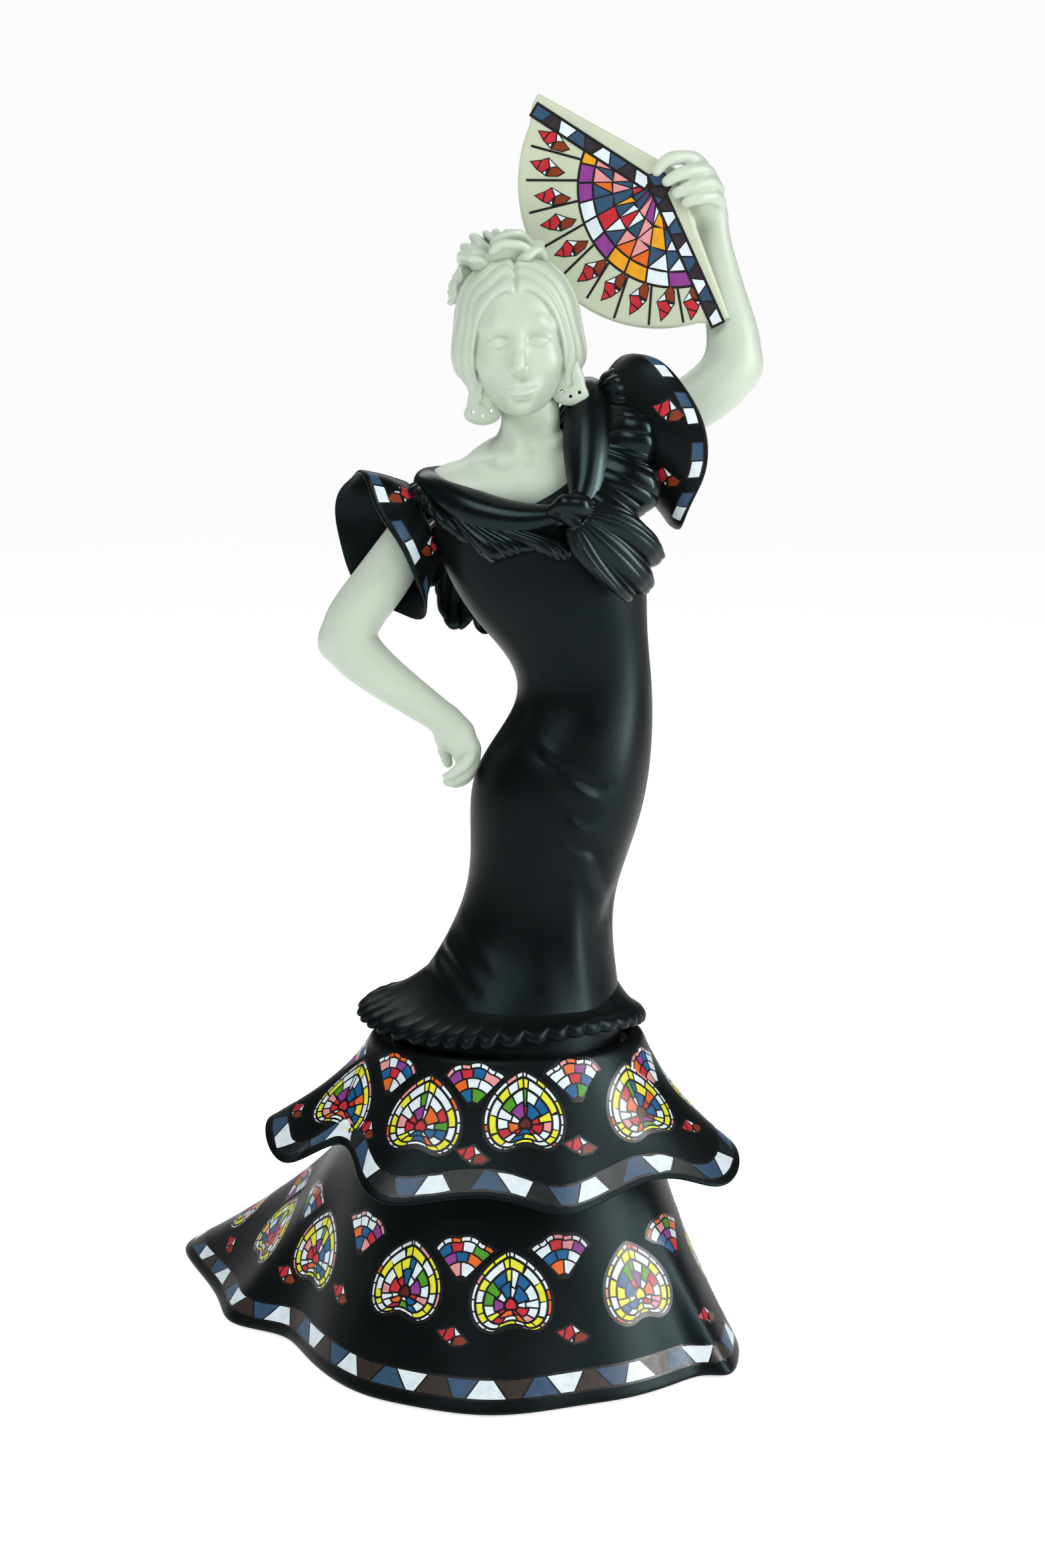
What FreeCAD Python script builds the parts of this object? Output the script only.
import FreeCAD
import Part

import math
import os

# Souvenir figurine of a flamenco dancer, cast in cream resin, with a black painted dress.
# Millimetres, +Z up. X runs to the viewer's right, and the figure faces -Y.
# The origin is on the table, under the middle of the figurine, in the face that it rests on.
# The dress is hollow, and its tiers, frill, ruffles and sleeves are separate castings glued over it.
# Head, arms and fan are solid castings. Steel dowels hold the head and the arms.

HEIGHT = 300.0  # table to the fan's top corner
WALL = 2.6  # casting wall of the hollow dress pieces
HEM_WALL = 3.2  # thicker wall of the two skirt tiers, seen at their hems
GLUE_GAP = 0.15  # room left between glued castings
DOWEL_R = 1.2  # steel dowels in the neck and shoulders
DOWEL_FIT = 0.03  # radial room of a dowel in its hole
PAD_T = 1.0  # felt pad under the base
PLATE_T = 2.4  # plate that closes the skirt from below
HEM_LIFT = 0.4  # height of the lower hem above the table
PLATE_INSET = 6.5  # edges of plate and pad, in from the inside of the hem
PAD_INSET = 8.0

RING_POINTS = 24  # control points round a plain ring
FRILL_POINTS = 144  # control points round the knee frill


def vec(x, y, z):
    return FreeCAD.Vector(x, y, z)


def lerp(a, b, t):
    return a + (b - a) * t


def unit(v):
    return v.normalize() if v.Length > 1e-9 else v


def spline_gain(n):
    """How far out the control points of an n-point periodic cubic must stand for the curve to reach its radius."""
    return 3.0 / (2.0 + math.cos(2 * math.pi / n))


def knots(count, degree, periodic):
    """Knots and multiplicities of a uniform B-spline with that many poles."""
    if periodic:
        return [float(i) for i in range(count + 1)], [1] * (count + 1)
    spans = count - degree
    values = [float(i) for i in range(spans + 1)]
    return values, [degree + 1] + [1] * (spans - 1) + [degree + 1]


def surface(rings, wrap):
    """B-spline surface that is closed round each ring, and closed along the rings too if wrap."""
    poles = [[ring[i] for ring in rings] for i in range(len(rings[0]))]
    u_knots, u_mults = knots(len(poles), 3, True)
    v_knots, v_mults = knots(len(rings), 3, wrap)
    made = Part.BSplineSurface()
    made.buildFromPolesMultsKnots(poles, u_mults, v_mults, u_knots, v_knots, True, wrap, 3, 3)
    return made


def flattened(ring, towards):
    """The ring's points moved into one plane that faces the next ring, so that a flat cap can close it."""
    middle = sum(ring, vec(0, 0, 0)) * (1.0 / len(ring))
    normal = unit(sum(towards, vec(0, 0, 0)) * (1.0 / len(towards)) - middle)
    return [p - normal * (p - middle).dot(normal) for p in ring]


def solid_of(faces):
    """One closed solid from faces that meet, turned the right way out."""
    if len(faces) > 1:
        shell = Part.makeShell(faces)
        shell.sewShape()
    else:
        shell = Part.Shell(faces)
    made = Part.Solid(shell)
    if made.Volume < 0:
        made.reverse()
    return made


def skin(rings):
    """A solid through rings of control points, with a flat cap at each end."""
    rings = [flattened(rings[0], rings[1])] + rings[1:-1] + [flattened(rings[-1], rings[-2])]
    side = surface(rings, False)
    faces = [side.toShape()]
    for v in side.bounds()[2:]:
        faces.append(Part.Face(Part.Wire(side.vIso(v).toShape())))
    return solid_of(faces)


def shell_skin(rings):
    """A ring-shaped solid: the rings run down its outside and back up its inside."""
    return solid_of([surface(rings, True).toShape()])


def tilted(roll, pitch):
    """Axes of a ring: across leans up to the right by roll, and back leans up by pitch, in degrees."""
    r, p = math.radians(roll), math.radians(pitch)
    across = vec(math.cos(r), 0, math.sin(r))
    back = vec(-math.sin(r) * math.sin(p), math.cos(p), math.cos(r) * math.sin(p))
    return across, back


def ellipse_point(centre, rx, ry, axes, angle):
    across, back = axes
    return centre + across * (rx * math.cos(angle)) + back * (ry * math.sin(angle))


def ring(x, y, z, rx, ry, roll=0.0, pitch=0.0, n=RING_POINTS):
    """A ring of control points for an ellipse of radii rx and ry."""
    gain = spline_gain(n)
    axes = tilted(roll, pitch)
    turns = [2 * math.pi * i / n for i in range(n)]
    return [ellipse_point(vec(x, y, z), rx * gain, ry * gain, axes, a) for a in turns]


def hollow(sections, wall):
    """A tube open at both ends: the same sections outside and, a wall thinner, inside."""
    outside = [ring(*s) for s in sections]
    inside = [ring(s[0], s[1], s[2], s[3] - wall, s[4] - wall, *s[5:]) for s in sections]
    return shell_skin(outside + inside[::-1])


def tube(points, radii, squash=1.0, n=12):
    """A limb: round rings square to a path, each with its own radius. squash flattens it along Y."""
    gain = spline_gain(n)
    rings = []
    for i, (p, r) in enumerate(zip(points, radii)):
        before, after = points[max(i - 1, 0)], points[min(i + 1, len(points) - 1)]
        along = unit(vec(*after) - vec(*before))
        side = unit(along.cross(vec(0, 1, 0)))
        depth = side.cross(along)
        turns = [2 * math.pi * k / n for k in range(n)]
        rings.append([
            vec(*p) + side * (r * gain * math.cos(a)) + depth * (r * gain * squash * math.sin(a))
            for a in turns
        ])
    return skin(rings)


def ribbon(upper, lower, thickness, steps=4, pleats=None, closed=False):
    """A strip between two lists of edge points. pleats(i, t) moves it out of its plane at station i, depth t."""
    count = len(upper)
    sections = []
    for i in range(count):
        before = upper[i - 1] if closed or i else upper[0]
        after = upper[(i + 1) % count] if closed or i < count - 1 else upper[i]
        across = lower[i] - upper[i]
        normal = unit((after - before).cross(across))
        face, back = [], []
        for k in range(steps):
            t = k / (steps - 1)
            wave = pleats(i, t) if pleats else 0.0
            at = upper[i] + across * t + normal * wave
            face.append(at + normal * (thickness / 2))
            back.append(at - normal * (thickness / 2))
        sections.append(face + back[::-1])
    return shell_skin(sections) if closed else skin(sections)


def seated(piece, *neighbours):
    """The piece trimmed to sit against the castings that it is glued to."""
    for other in neighbours:
        piece = piece.cut(other)
    return max(piece.Solids, key=lambda solid: solid.Volume)


def dowel(start, end):
    """A steel pin from one point to another."""
    a, b = vec(*start), vec(*end)
    return Part.makeCylinder(DOWEL_R, (b - a).Length, a, b - a)


def dowel_hole(start, end):
    """The hole for that pin, a little wider and longer."""
    a, b = vec(*start), vec(*end)
    along = unit(b - a) * GLUE_GAP
    return Part.makeCylinder(DOWEL_R + DOWEL_FIT, (b - a).Length + 2 * GLUE_GAP, a - along, b - a)


# ---------------------------------------------------------------- dress body

# x, y, z of the middle, half width, half depth, roll, pitch
SHEATH = [
    (-4.0, -5.0, 3.6, 26.0, 24.0),
    (-4.0, -5.0, 25.0, 26.6, 24.6),
    (-4.0, -5.0, 50.0, 27.6, 26.0),
    (-4.0, -5.0, 68.0, 28.6, 27.0),
    (-3.6, -4.6, 78.0, 27.6, 26.2),
    (-2.6, -3.8, 84.0, 26.6, 25.0),
    (0.2, -1.8, 92.0, 22.4, 21.5),
    (2.4, -0.4, 101.0, 19.4, 19.0),
    (4.8, 0.2, 111.0, 18.2, 18.2),
    (7.0, 0.5, 121.0, 19.4, 18.8),
    (8.2, 1.0, 130.0, 21.0, 19.6),
    (9.4, 1.2, 139.0, 21.6, 19.6),
    (12.4, 1.0, 147.5, 19.2, 17.6),
    (15.4, 0.8, 156.0, 16.0, 14.0),
    (15.0, 0.6, 164.0, 16.0, 13.0),
    (11.8, 0.0, 172.0, 18.4, 14.0, 3.0, 0.0),
    (8.8, -0.8, 180.0, 21.2, 15.8, 7.0, 4.0),
    (6.4, -1.4, 189.0, 23.2, 16.8, 12.0, 10.0),
    (3.4, -2.2, 198.0, 23.8, 17.2, 17.0, 18.0),
    (0.0, -2.8, 206.0, 22.4, 18.2, 20.0, 25.0),
    (-2.6, -3.0, 211.5, 19.6, 18.0, 21.0, 29.0),
]


def dress_body():
    return hollow(SHEATH, WALL)


# ---------------------------------------------------------------- skirt tiers

# x, y of the middle, half length and half depth of each tier's top edge, and the top's height
UPPER_TOP = (-3.6, -4.6, 33.4, 30.6, 76.0)
LOWER_TOP = (-4.5, -4.6, 35.5, 33.0, 60.0)
LEDGE_GAP = 0.5  # between a tier's ledge and the dress body

# control points of each hem, from the train's right round the back, the left and the front
UPPER_HEM = [
    (53.5, -10.0, 49.0), (47.0, 4.0, 47.0), (43.0, 14.0, 44.5), (43.5, 25.0, 45.5), (36.0, 36.0, 48.0),
    (24.0, 38.0, 46.0), (14.0, 45.0, 44.5), (0.0, 46.5, 46.5), (-12.0, 40.0, 47.5), (-24.0, 41.0, 45.0),
    (-37.0, 41.0, 46.0), (-46.0, 30.0, 49.0), (-51.0, 18.0, 48.0), (-61.0, 10.0, 50.0), (-65.0, -2.0, 53.0),
    (-63.5, -15.0, 49.0), (-58.0, -23.5, 45.5), (-50.5, -20.0, 48.5), (-43.5, -19.0, 52.0), (-40.5, -31.0, 50.0),
    (-38.5, -42.5, 46.5), (-31.5, -47.5, 43.8), (-22.0, -47.0, 45.0), (-8.0, -48.5, 47.5), (2.5, -51.0, 44.8),
    (10.5, -51.5, 42.6), (19.5, -44.5, 44.4), (29.0, -38.5, 48.0), (38.0, -35.0, 47.4), (47.5, -35.5, 43.6),
    (53.5, -26.0, 46.0),
]
LOWER_HEM = [
    (54.0, -16.0), (47.0, -3.0), (46.0, 10.0), (51.0, 24.0), (44.0, 36.0), (32.0, 38.0), (23.0, 50.0),
    (11.0, 58.0), (-3.0, 56.0), (-14.0, 52.0), (-26.0, 60.0), (-38.0, 68.0), (-50.0, 62.0), (-62.0, 56.0),
    (-74.0, 64.0), (-88.0, 65.0), (-94.5, 52.0), (-90.0, 38.0), (-82.5, 21.0), (-78.0, 7.5), (-75.5, -6.5),
    (-66.5, -11.5), (-58.0, -15.5), (-53.5, -28.0), (-46.5, -42.0), (-38.0, -52.5), (-29.0, -57.5),
    (-18.0, -62.5), (-7.0, -65.0), (4.0, -62.5), (14.5, -58.0), (25.5, -54.5), (36.5, -46.0), (43.0, -39.0),
    (50.5, -42.5), (53.0, -30.0),
]


def smoothed(points, reach=3):
    """The loop with its folds averaged out."""
    n = len(points)
    share = 1.0 / (2 * reach + 1)
    return [sum((points[(i + k) % n] for k in range(-reach, reach + 1)), vec(0, 0, 0)) * share for i in range(n)]


def rim_normals(points):
    """Level directions that point out of a loop at each of its points."""
    n = len(points)
    steps = [points[(i + 1) % n] - points[i - 1] for i in range(n)]
    return [unit(vec(-d.y, d.x, 0)) * -1.0 for d in steps]


def ellipse_towards(middle, rx, ry, point):
    """The unit place on an ellipse that lies towards a point."""
    a = math.atan2((point.y - middle[1]) / ry, (point.x - middle[0]) / rx)
    return vec(rx * math.cos(a), ry * math.sin(a), 0)


def tier_ring(top, hem, share, inset):
    """Control points of a tier, share of the way down from its top to its hem, drawn in by inset."""
    x, y, rx, ry, z = top
    plain = smoothed(hem)
    flare = share ** 1.3
    points = []
    for low, calm, out in zip(hem, plain, rim_normals(hem)):
        high = vec(x, y, z) + ellipse_towards((x, y), rx - inset, ry - inset, calm)
        at = high + (calm - high) * flare + (low - calm) * share * share
        at.z = lerp(z, calm.z, share) + (low.z - calm.z) * share * share
        points.append(at - out * (inset * share))
    return points


def ledge_ring(hem, z, gap):
    """Control points of the tier's flat ledge, where it meets the dress body."""
    x, y, _, rx, ry = SHEATH[4][:5]
    return [vec(x, y, z) + ellipse_towards((x, y), rx + gap, ry + gap, p) for p in smoothed(hem)]


TIER_STATIONS = [0.0, 0.1, 0.26, 0.42, 0.58, 0.74, 0.88, 0.96, 1.0]


def tier(top, hem):
    """A flared skirt tier with a ledge at its top that is glued round the dress body."""
    hem = [vec(*p) for p in hem]
    z = top[4]
    outside = [tier_ring(top, hem, share, 0.0) for share in TIER_STATIONS]
    inside = [tier_ring(top, hem, share, HEM_WALL) for share in TIER_STATIONS]
    for ring_points in inside[:2]:
        for p in ring_points:
            p.z -= HEM_WALL
    ledge = [ledge_ring(hem, z - HEM_WALL, LEDGE_GAP + 1.4), ledge_ring(hem, z, LEDGE_GAP + 1.4)]
    return shell_skin(outside + inside[::-1] + ledge)


def lower_hem():
    return [(x, y, HEM_LIFT) for x, y in LOWER_HEM]


def outline_face(inset, z):
    """Flat face inside the lower hem, drawn in from its wall."""
    rim = tier_ring(LOWER_TOP, [vec(*p) for p in lower_hem()], 1.0, HEM_WALL + inset)
    poles = [vec(p.x, p.y, z) for p in rim]
    knot_values, mults = knots(len(poles), 3, True)
    curve = Part.BSplineCurve()
    curve.buildFromPolesMultsKnots(poles, mults, knot_values, True, 3)
    return Part.Face(Part.Wire(curve.toShape()))


def base_plate():
    return outline_face(PLATE_INSET, PAD_T).extrude(vec(0, 0, PLATE_T))


def felt_pad():
    return outline_face(PAD_INSET, 0.0).extrude(vec(0, 0, PAD_T))


# ---------------------------------------------------------------- knee frill

FRILL_WAVES = 24
FRILL_INNER = (-3.7, -4.6, 27.5, 26.1, 80.4)
FRILL_OUTER = (-4.6, -4.2, 35.6, 32.0, 80.6)
FRILL_T = 2.4
FRILL_DROP = 2.0  # how much lower the frill lies on the raised arm's side


def frill_point(bearing, t):
    """Middle of the frill's thickness at a bearing in radians, t of the way out."""
    x, y, rx, ry, z = [lerp(a, b, t) for a, b in zip(FRILL_INNER, FRILL_OUTER)]
    swing = math.sin(FRILL_WAVES * bearing + 0.8 * math.sin(3 * bearing))
    wide = 0.9 * t * math.cos(FRILL_WAVES * bearing)
    z += 1.9 * t * t * swing - FRILL_DROP * math.cos(bearing) * t
    return vec(x + (rx + wide) * math.cos(bearing), y + (ry + wide) * math.sin(bearing), z)


def knee_frill():
    """A gathered ring round the knees: plain where it is glued, waved at its free edge."""
    bearings = [2 * math.pi * i / FRILL_POINTS for i in range(FRILL_POINTS)]
    up, shares = vec(0, 0, FRILL_T / 2), [0.0, 0.3, 0.6, 0.85, 1.0]
    over = [[frill_point(b, t) + up for b in bearings] for t in shares]
    under = [[frill_point(b, t) - up for b in bearings] for t in shares]
    return shell_skin(over + under[::-1])


# ---------------------------------------------------------------- sleeves

def oriented_ring(station, shrink, wave, saddle, n=48):
    """A ring square to a station's normal. wave(a) adds to its radius and saddle bends it along the normal."""
    centre, normal, long_axis, half_long, half_short = station
    normal = unit(vec(*normal))
    long_dir = vec(*long_axis)
    long_dir = unit(long_dir - normal * long_dir.dot(normal))
    short_dir = normal.cross(long_dir)
    gain = spline_gain(n)
    points = []
    for i in range(n):
        a = 2 * math.pi * i / n
        extra = wave(a) - shrink
        points.append(vec(*centre)
                      + long_dir * ((half_long * gain + extra) * math.cos(a))
                      + short_dir * ((half_short * gain + extra) * math.sin(a))
                      - normal * (saddle * math.cos(2 * a)))
    return points


def sleeve(stations, waves, depth, saddle):
    """A flared sleeve: stations of (centre, normal, long axis, half long, half short) from armhole to rim."""
    outside, inside = [], []
    last = len(stations) - 1
    for k, station in enumerate(stations):
        share = (k / last) ** 2
        wave = lambda a, s=share * depth: s * math.cos(waves * a)
        outside.append(oriented_ring(station, 0.0, wave, saddle * share))
        inside.append(oriented_ring(station, SLEEVE_WALL, wave, saddle * share))
    return shell_skin(outside + inside[::-1])


HIP_SLEEVE = [
    ((-23.2, 0.6, 200.4), (-0.90, -0.06, -0.40), (0.4, 0.0, -0.9), 9.6, 9.8),
    ((-25.4, 0.4, 199.4), (-0.90, -0.15, -0.38), (0.4, 0.0, -0.9), 11.6, 10.8),
    ((-28.4, 0.0, 197.6), (-0.86, -0.32, -0.32), (0.43, -0.1, -0.88), 14.6, 11.8),
    ((-31.6, -0.4, 195.4), (-0.80, -0.48, -0.28), (0.45, -0.15, -0.87), 17.6, 13.0),
    ((-33.8, -0.6, 193.8), (-0.74, -0.60, -0.26), (0.46, -0.2, -0.86), 19.8, 14.4),
]
RAISED_SLEEVE = [
    ((23.0, 2.0, 218.6), (0.90, 0.08, 0.42), (0.42, 0.0, -0.9), 12.0, 10.0),
    ((25.4, 1.6, 218.8), (0.91, 0.10, 0.36), (0.36, 0.0, -0.93), 14.4, 12.0),
    ((28.8, 1.0, 219.0), (0.93, 0.12, 0.30), (0.30, -0.05, -0.95), 17.4, 14.2),
    ((32.0, 0.4, 219.2), (0.95, 0.14, 0.24), (0.24, -0.08, -0.96), 19.8, 15.6),
    ((34.6, 0.0, 219.3), (0.96, 0.15, 0.20), (0.20, -0.1, -0.97), 21.4, 16.6),
]
SLEEVE_WALL = 1.8


def hip_sleeve():
    return sleeve(HIP_SLEEVE, 5, 0.9, 1.0)


def raised_sleeve():
    return sleeve(RAISED_SLEEVE, 5, 0.9, 4.0)


# ---------------------------------------------------------------- neck, head and what the head wears

BUST = [
    (2.0, -2.4, 200.0, 15.0, 10.5, 18.0, 20.0),
    (0.4, -2.6, 205.0, 17.6, 13.0, 20.0, 25.0),
    (-2.2, -3.0, 211.0, 16.6, 14.6, 21.0, 29.0),
    (-2.6, -3.0, 214.6, 15.4, 13.8, 20.0, 28.0),
    (-0.8, -2.8, 217.6, 11.0, 11.0, 15.0, 24.0),
    (1.0, -2.4, 220.0, 7.9, 8.2, 10.0, 16.0),
    (1.9, -2.4, 223.0, 6.9, 7.1, 5.0, 8.0),
    (2.0, -2.8, 226.0, 6.7, 7.0, 0.0, 6.0),
    (1.9, -3.2, 229.0, 6.6, 6.9),
]

NECK_TOP = 229.0
HEAD_MIDDLE = (-1.0, -4.0, 243.6)
HEAD_LEAN = -7.0  # degrees, the crown towards -X
HEAD_HALF_H = 18.2
# share of the head's half height, half width, half depth, shift to the front, and bulge of the side hair
HEAD_SECTIONS = [
    (-0.99, 3.6, 3.4, -7.0, 0.0),
    (-0.90, 6.2, 7.0, -5.2, 0.6),
    (-0.70, 9.0, 11.0, -2.4, 1.8),
    (-0.45, 11.8, 13.8, -0.8, 2.6),
    (-0.15, 13.6, 15.6, 0.2, 2.2),
    (0.20, 14.2, 16.6, 0.8, 1.6),
    (0.50, 13.6, 15.8, 1.2, 1.2),
    (0.76, 11.4, 12.8, 1.6, 0.8),
    (0.94, 7.0, 7.6, 1.8, 0.2),
    (1.00, 2.6, 2.8, 1.8, 0.0),
]


def head_point(x, y, z):
    """A point of the upright head, in the leaning head's place."""
    lean = math.radians(HEAD_LEAN)
    return vec(HEAD_MIDDLE[0] + x * math.cos(lean) + z * math.sin(lean),
               HEAD_MIDDLE[1] + y,
               HEAD_MIDDLE[2] - x * math.sin(lean) + z * math.cos(lean))


def head_ring(height, rx, ry, y, x=0.0, bulge=0.0):
    """Ring square to the head's lean. bulge widens it beside and behind the face, where the hair is."""
    gain = spline_gain(RING_POINTS)
    points = []
    for i in range(RING_POINTS):
        a = 2 * math.pi * i / RING_POINTS
        side = bulge * max(0.0, math.cos(a) ** 2 - 0.25) * 1.33 * math.copysign(1.0, math.cos(a))
        points.append(head_point(x + rx * gain * math.cos(a) + side, y + ry * gain * math.sin(a), height))
    return points


def bust(grow=0.0):
    """Neck and bare shoulders, down into the bodice."""
    return skin([ring(s[0], s[1], s[2], s[3] + grow, s[4] + grow, *s[5:]) for s in BUST])


def head():
    """Head with its combed hair, in one casting."""
    rings = []
    for share, rx, ry, y, bulge in HEAD_SECTIONS:
        rings.append(head_ring(share * HEAD_HALF_H, rx, ry, y, 0.0, bulge))
    neck = bust(GLUE_GAP)
    top_room = Part.makeCylinder(5.0, GLUE_GAP, vec(1.9, -3.2, NECK_TOP))
    return skin(rings).cut(neck).cut(top_room)


def ball(centre, radii):
    """An ellipsoid in the head's leaning frame."""
    x, y, z = centre
    rings = []
    for share in (-0.98, -0.86, -0.5, 0.0, 0.5, 0.86, 0.98):
        width = math.sqrt(max(1 - share * share, 0.02))
        rings.append(head_ring(z + share * radii[2], radii[0] * width, radii[1] * width, y, x))
    return skin(rings)


def hair_bun():
    return ball((1.0, 20.6, 2.0), (8.6, 4.6, 8.0))


def petal(base, tip, side_width, cup, thickness=1.3):
    """A cupped petal from base to tip, both in the head's frame."""
    foot, crown = head_point(*base), head_point(*tip)
    along = crown - foot
    inwards = unit(head_point(*ROSE_MIDDLE) - foot)
    inwards = unit(inwards - unit(vec(*along)) * inwards.dot(unit(vec(*along))))
    across = unit(along.cross(inwards))
    rings = []
    for t in (0.0, 0.12, 0.4, 0.7, 0.92, 1.0):
        half = side_width * (0.35 + 0.65 * math.sin(math.pi * (0.12 + 0.70 * t)))
        curl = cup * math.sin(math.pi * t)
        middle = foot + along * t - inwards * curl
        rings.append([
            middle
            + across * (half * math.cos(a))
            + inwards * (thickness / 2 * math.sin(a) + cup * 0.7 * math.cos(a) ** 2)
            for a in [2 * math.pi * i / 12 for i in range(12)]
        ])
    return skin(rings)


ROSE_MIDDLE = (-1.6, 5.0, 19.8)


def rose_heart():
    """The rolled middle of the rose."""
    x, y, z = ROSE_MIDDLE
    return ball((x, y, z + 1.6), (3.6, 3.6, 3.2))


def rose_petals():
    """A ring of outer petals round the rose's heart."""
    x, y, z = ROSE_MIDDLE
    count = 5
    made = []
    for i in range(count):
        a = 2 * math.pi * i / count + 0.35
        foot = (x + 4.8 * math.cos(a), y + 4.8 * math.sin(a), z - 1.4)
        tip = (x + 7.6 * math.cos(a), y + 7.6 * math.sin(a), z + 3.4)
        made.append(petal(foot, tip, 3.2, 0.5))
    return Part.makeCompound(made)


SIDE_FLOWER = (-13.4, 8.0, 11.4)


def side_flower():
    """A small flower at the side of the crown."""
    return ball(SIDE_FLOWER, (3.0, 3.4, 4.2))


EARRING_AT = {"hip": (-10.8, -2.4, -15.2), "raised": (11.8, -2.4, -12.6)}


def earring(side):
    """A broad drop glued under the ear, pierced by three small holes."""
    x, y, z = EARRING_AT[side]
    drop = ball((x, y, z), (3.8, 1.8, 4.6))
    for hole_x, hole_z in ((-1.7, -0.6), (0.0, -2.2), (1.7, -0.6)):
        at = head_point(x + hole_x, y - 3.0, z + hole_z)
        drop = drop.cut(Part.makeCylinder(0.5, 6.0, at, vec(0, 1, 0)))
    return drop


# ---------------------------------------------------------------- arms, hands and fan

RAISED_ARM = [
    ((25.0, 2.0, 219.4), 5.4),
    ((30.0, 2.4, 222.0), 6.2),
    ((37.0, 3.0, 225.8), 6.4),
    ((44.0, 3.4, 229.6), 6.6),
    ((50.0, 3.8, 235.0), 6.9),
    ((51.4, 4.6, 242.0), 6.3),
    ((50.2, 6.0, 250.4), 5.8),
    ((48.4, 8.0, 259.6), 4.9),
    ((46.4, 9.8, 268.0), 4.1),
]
HIP_ARM = [
    ((-26.8, 1.0, 197.2), 5.0),
    ((-29.8, 0.8, 191.8), 6.0),
    ((-34.0, 0.6, 185.4), 6.5),
    ((-39.6, 0.4, 178.6), 6.4),
    ((-43.4, 0.2, 171.8), 6.7),
    ((-38.4, -0.6, 166.2), 5.9),
    ((-31.0, -1.6, 160.6), 5.0),
    ((-23.0, -2.4, 155.2), 4.1),
    ((-17.0, -2.8, 151.0), 3.7),
]


def limb(stations, squash=0.96):
    return tube([s[0] for s in stations], [s[1] for s in stations], squash)


# each dowel from one end to the other
SHOULDER_DOWELS = {
    "raised": ((20.2, 1.8, 217.0), (29.0, 2.3, 221.4)),
    "hip": ((-17.8, 1.2, 202.6), (-28.6, 0.9, 194.6)),
}
NECK_DOWEL = ((1.9, -2.6, 219.6), (1.5, -3.0, 232.4))

RAISED_PALM = [
    ((46.8, 9.4, 266.0), 4.1),
    ((45.4, 10.6, 272.0), 4.4),
    ((44.6, 11.0, 275.6), 5.0),
    ((43.4, 11.2, 279.2), 5.2),
    ((42.2, 10.8, 282.6), 4.2),
]
HIP_PALM = [
    ((-18.0, -2.7, 151.8), 3.6),
    ((-14.6, -3.2, 147.4), 3.7),
    ((-14.2, -3.6, 144.8), 3.6),
    ((-14.8, -4.0, 142.0), 3.2),
    ((-15.8, -4.2, 139.4), 2.6),
]


def raised_arm():
    """Arm and hand in one casting: palm behind the fan, four fingers over its front at the pivot."""
    arm = limb(RAISED_ARM).fuse(limb(RAISED_PALM, 0.75))
    for k in range(4):
        x, z = 0.8 * k, 284.8 - 3.3 * k
        path = [
            (43.4 + x, 9.4, z - 1.8),
            (43.0 + x, 4.6, z - 1.0),
            (40.0 + x, 0.6, z - 0.2),
            (36.2 + x, -0.6, z + 0.1),
            (33.2 + x, -0.1, z),
        ]
        arm = arm.fuse(tube(path, [1.9, 1.9, 1.75, 1.6, 1.1]))
    return arm


def hip_arm():
    """Arm and hand in one casting: the hand is closed on the hip, its fingers and thumb curled under."""
    arm = limb(HIP_ARM).fuse(limb(HIP_PALM, 0.8))
    for k in range(4):
        y, z = -6.2 + 1.7 * k, 141.4 - 0.2 * k
        path = [(-15.0, y, z), (-15.6, y, z - 2.0), (-17.0, y, z - 3.8), (-18.6, y, z - 3.4)]
        arm = arm.fuse(tube(path, [1.3, 1.35, 1.3, 0.9]))
    thumb = [(-17.2, -3.6, 148.4), (-18.4, -4.6, 145.6), (-18.6, -5.0, 142.4), (-17.8, -5.2, 139.8)]
    return arm.fuse(tube(thumb, [1.4, 1.5, 1.4, 1.0]))


FAN_PIVOT = (32.5, 3.0, 279.7)
FAN_FROM, FAN_TO = 149.2, 292.6  # bearings of the two guards in the fan's plane, degrees from +X
FAN_R = 34.3
FAN_TIP = 1.6  # how far the guards' ends stand past the leaf
FAN_T = 2.4
FAN_GRIP_R = 4.2  # rounded end at the pivot
FAN_SWING = -12.0  # degrees about the vertical, which sets the leaf's far edge back behind the head


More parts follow.
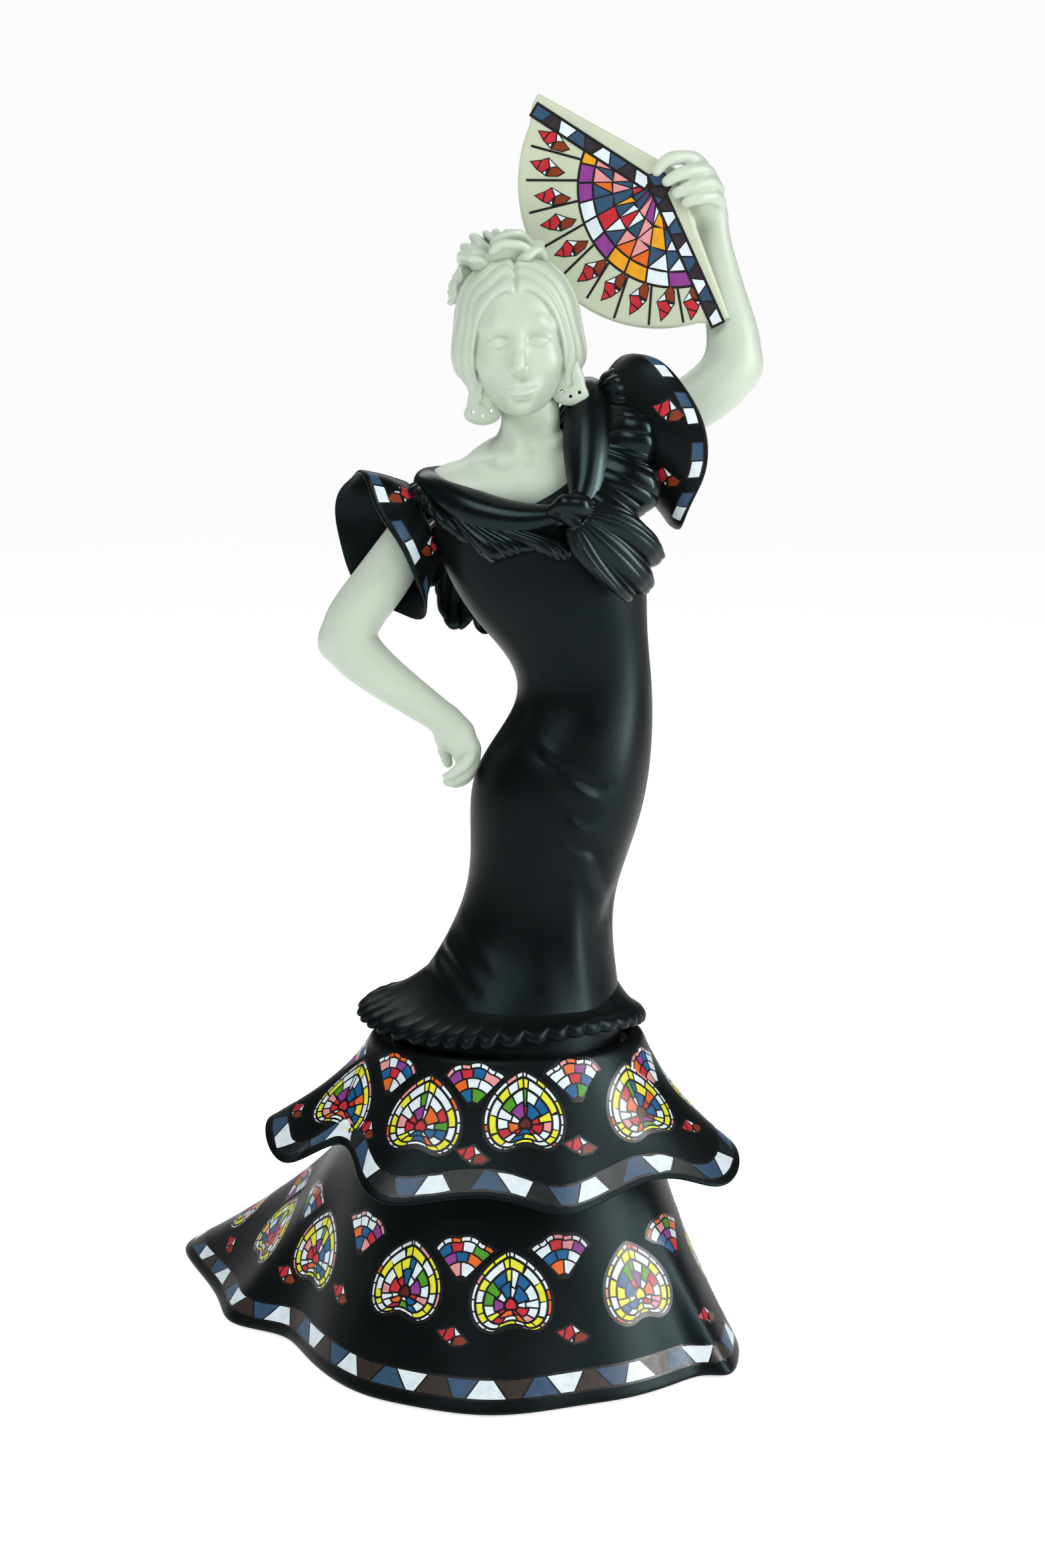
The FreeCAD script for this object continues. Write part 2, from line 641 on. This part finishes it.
def fan():
    """The open fan: leaf and guards in one flat casting, with rounded corners."""
    px, py, pz = FAN_PIVOT

    def at(bearing, reach):
        a = math.radians(bearing)
        return vec(px + reach * math.cos(a), py - FAN_T / 2, pz + reach * math.sin(a))

    rim = FAN_R + FAN_TIP
    turn_in = 7.0  # degrees over which the rim leaves the guards' ends
    start, end = at(FAN_FROM, rim), at(FAN_TO, rim)
    leaf_start, leaf_end = at(FAN_FROM + turn_in, FAN_R), at(FAN_TO - turn_in, FAN_R)
    middle = (FAN_FROM + FAN_TO) / 2
    grip_start, grip_end = at(FAN_FROM - 90, FAN_GRIP_R), at(FAN_TO + 90, FAN_GRIP_R)
    edges = [
        Part.LineSegment(grip_start, at(FAN_FROM, rim) + (grip_start - at(0, 0)) * 0.5).toShape(),
        Part.LineSegment(at(FAN_FROM, rim) + (grip_start - at(0, 0)) * 0.5, start).toShape(),
        Part.LineSegment(start, leaf_start).toShape(),
        Part.Arc(leaf_start, at(middle, FAN_R), leaf_end).toShape(),
        Part.LineSegment(leaf_end, end).toShape(),
        Part.LineSegment(end, end + (grip_end - at(0, 0)) * 0.5).toShape(),
        Part.LineSegment(end + (grip_end - at(0, 0)) * 0.5, grip_end).toShape(),
        Part.Arc(grip_end, at(middle + 180, FAN_GRIP_R), grip_start).toShape(),
    ]
    leaf = Part.Face(Part.Wire(edges)).extrude(vec(0, FAN_T, 0))
    upright = [e for e in leaf.Edges if abs(e.tangentAt(e.FirstParameter).y) > 0.9]
    leaf = leaf.makeFillet(0.9, upright)
    leaf.rotate(vec(px, py, pz), vec(0, 0, 1), FAN_SWING)
    return leaf


# ---------------------------------------------------------------- collar, knot and tails

# control points of the collar band's two edges, from the knot round to the hip arm's side and the back
BAND_UPPER = [
    (10.6, -20.4, 205.4), (2.0, -20.6, 204.2), (-7.0, -18.4, 206.0), (-15.0, -13.6, 209.0), (-21.0, -7.0, 211.8),
    (-22.4, 1.0, 212.4), (-18.0, 9.0, 212.6), (-8.5, 14.0, 214.0), (1.5, 15.0, 218.0), (9.5, 11.5, 226.0),
    (13.4, 5.0, 233.5), (12.4, -2.0, 233.0), (10.6, -7.5, 225.6), (10.2, -13.0, 216.6), (11.4, -17.4, 209.4),
]
BAND_LOWER = [
    (11.4, -22.6, 200.8), (1.0, -22.8, 199.6), (-9.0, -20.6, 201.4), (-18.0, -15.6, 204.4), (-24.6, -8.4, 208.0),
    (-26.4, 1.6, 208.6), (-21.6, 11.4, 207.4), (-10.4, 17.4, 208.2), (3.0, 18.8, 212.4), (13.0, 14.8, 221.6),
    (19.0, 6.4, 230.4), (18.8, -2.4, 231.0), (16.8, -9.4, 222.6), (16.2, -15.6, 213.6), (15.6, -20.6, 205.4),
]


def on_loop(poles, at):
    """Point of the closed curve that the poles control, at a place counted in poles."""
    n = len(poles)
    i, t = int(math.floor(at)), at - math.floor(at)
    weights = [(1 - t) ** 3, 3 * t ** 3 - 6 * t * t + 4, -3 * t ** 3 + 3 * t * t + 3 * t + 1, t ** 3]
    return sum((vec(*poles[(i - 1 + k) % n]) * (w / 6.0) for k, w in enumerate(weights)), vec(0, 0, 0))


def on_path(poles, share):
    """Point on an open run of points, share of the way along."""
    at = share * (len(poles) - 1)
    i = min(int(at), len(poles) - 2)
    return vec(*poles[i]) + (vec(*poles[i + 1]) - vec(*poles[i])) * (at - i)


def collar_band():
    """The smooth rolled edge of the neckline."""
    stations = [i * 0.5 for i in range(2 * len(BAND_UPPER))]
    upper = [on_loop(BAND_UPPER, at) for at in stations]
    lower = [on_loop(BAND_LOWER, at) for at in stations]
    return ribbon(upper, lower, 2.2, closed=True)


def ruffle(start, end, count, edge, pleat):
    """A pleated strip from under the band, between two places on it, down to the points of its free edge."""
    upper, lower = [], []
    for i in range(count):
        share = i / (count - 1)
        at = lerp(start, end, share)
        low, high = on_loop(BAND_LOWER, at), on_loop(BAND_UPPER, at)
        upper.append(low + unit(low - high) * 0.5)
        lower.append(on_path(edge, share))
    return ribbon(upper, lower, 1.8, pleats=lambda i, t: pleat * t * (-1) ** i)


FRONT_EDGE = [(-28.0, -8.0, 204.0), (-24.0, -12.0, 197.0), (-14.0, -18.0, 193.0), (-4.0, -21.0, 191.6),
              (5.0, -22.0, 191.0), (11.0, -22.6, 193.0)]
SIDE_EDGE = [(21.0, -19.0, 196.0), (29.0, -15.5, 194.0), (30.4, -13.5, 203.0), (29.0, -11.0, 213.0),
             (26.4, -7.0, 224.0), (24.4, -1.0, 235.0), (23.4, 5.0, 236.0)]
BACK_EDGE = [(22.0, 12.0, 228.0), (20.0, 18.0, 212.0), (13.0, 21.0, 200.0), (0.0, 21.0, 186.0),
             (-12.0, 18.0, 176.0), (-22.0, 15.0, 186.0), (-29.0, 9.0, 200.0), (-31.0, 3.0, 208.0)]


def collar_ruffle_front():
    return ruffle(4.2, 0.3, 30, FRONT_EDGE, 0.6)


def collar_ruffle_side():
    return ruffle(14.8, 10.6, 34, SIDE_EDGE, 0.6)


def collar_ruffle_back():
    return ruffle(10.2, 4.9, 44, BACK_EDGE, 0.6)


def collar_knot():
    """The pinched gather where the band's ends meet."""
    x, y, z = 11.6, -25.6, 204.0
    path = [(x - 4.0, y + 1.2, z + 0.8), (x - 2.0, y, z + 0.8), (x + 1.0, y - 0.4, z), (x + 3.4, y + 0.4, z - 1.0),
            (x + 4.8, y + 1.4, z - 1.8)]
    return tube(path, [1.4, 2.2, 2.6, 2.2, 1.4])


def tail(points, widths, thickness):
    """A hanging tail: a path down its middle, with half widths."""
    upper, lower = [], []
    for i, (p, w) in enumerate(zip(points, widths)):
        before, after = points[max(i - 1, 0)], points[min(i + 1, len(points) - 1)]
        along = unit(vec(*after) - vec(*before))
        across = unit(along.cross(vec(0, -1, 0)))
        upper.append(vec(*p) + across * w)
        lower.append(vec(*p) - across * w)
    return ribbon(upper, lower, thickness)


def collar_tail():
    """The gathered end of the ruffle that hangs from the knot."""
    path = [(12.0, -25.4, 200.0), (15.0, -24.4, 196.4), (19.0, -23.0, 191.6), (24.0, -21.0, 187.0),
            (28.0, -19.0, 184.6)]
    return tail(path, [1.6, 3.0, 4.4, 5.0, 3.6], 2.6)


# ---------------------------------------------------------------- assembly

def build():
    body = dress_body()
    skull = head().cut(dowel_hole(*NECK_DOWEL))
    band = seated(collar_band(), body)
    leaf = fan()
    sleeves = {"raised": raised_sleeve(), "hip": hip_sleeve()}
    arms = {"raised": seated(raised_arm(), leaf), "hip": hip_arm()}
    for side in arms:
        shoulder = dowel_hole(*SHOULDER_DOWELS[side])
        body = body.cut(shoulder)
        arms[side] = seated(arms[side], sleeves[side], shoulder)
    return {
        "felt_pad": felt_pad(),
        "base_plate": base_plate(),
        "lower_flounce": tier(LOWER_TOP, lower_hem()),
        "upper_flounce": tier(UPPER_TOP, UPPER_HEM),
        "knee_frill": seated(knee_frill(), body),
        "dress_body": body,
        "bust": bust().cut(dowel_hole(*NECK_DOWEL)),
        "head": skull,
        "hair_bun": seated(hair_bun(), skull),
        "rose_heart": seated(rose_heart(), skull),
        "rose_petals": rose_petals().cut(skull),
        "side_flower": seated(side_flower(), skull),
        "hip_earring": seated(earring("hip"), skull),
        "raised_earring": seated(earring("raised"), skull, band),
        "hip_sleeve": sleeves["hip"],
        "raised_sleeve": sleeves["raised"],
        "hip_arm": arms["hip"],
        "raised_arm": arms["raised"],
        "fan": leaf,
        "collar_band": band,
        "collar_ruffle_front": seated(collar_ruffle_front(), sleeves["hip"], body),
        "collar_ruffle_side": seated(collar_ruffle_side(), sleeves["raised"], body),
        "collar_ruffle_back": seated(collar_ruffle_back(), sleeves["hip"], sleeves["raised"], body),
        "collar_knot": seated(collar_knot(), band),
        "collar_tail": seated(collar_tail(), body),
        "raised_shoulder_dowel": dowel(*SHOULDER_DOWELS["raised"]),
        "hip_shoulder_dowel": dowel(*SHOULDER_DOWELS["hip"]),
        "neck_dowel": dowel(*NECK_DOWEL),
    }


def main():
    os.makedirs("parts", exist_ok=True)
    for name, shape in build().items():
        print(name, "valid" if shape.isValid() else "INVALID", round(shape.Volume), "mm3", len(shape.Solids))
        shape.exportStep(os.path.join("parts", name + ".step"))


main()
